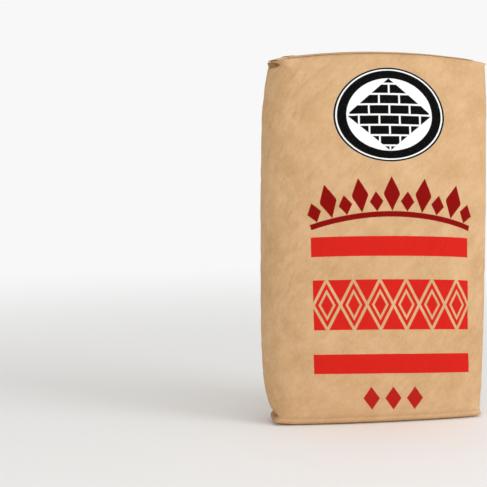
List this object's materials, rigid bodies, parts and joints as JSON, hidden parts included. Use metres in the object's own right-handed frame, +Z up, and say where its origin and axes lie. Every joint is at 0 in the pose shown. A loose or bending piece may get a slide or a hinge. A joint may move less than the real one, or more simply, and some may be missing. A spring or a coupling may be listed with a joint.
{
  "type": "cement bag",
  "caption": "Filled paper valve sack of cement with folded block ends and glued cover patches, standing on its base; stock to lift, stack or pour.",
  "frame": {"origin": "middle of the base, on the floor", "axes": "+Z up along the sack's length, printed face towards -Y, valve at the -X end of the top"},
  "size_m": [0.3978, 0.151, 0.64],
  "materials": {
    "kraft_paper": "matte brown kraft paper with printed bands",
    "cover_paper": "matte brown kraft paper, glued",
    "valve_paper": "matte light kraft paper"
  },
  "bodies": {
    "root": {"sack_body": "kraft_paper", "bottom_cover_patch": "cover_paper", "top_cover_patch": "cover_paper", "valve_sleeve": "valve_paper"}
  },
  "joints": []
}
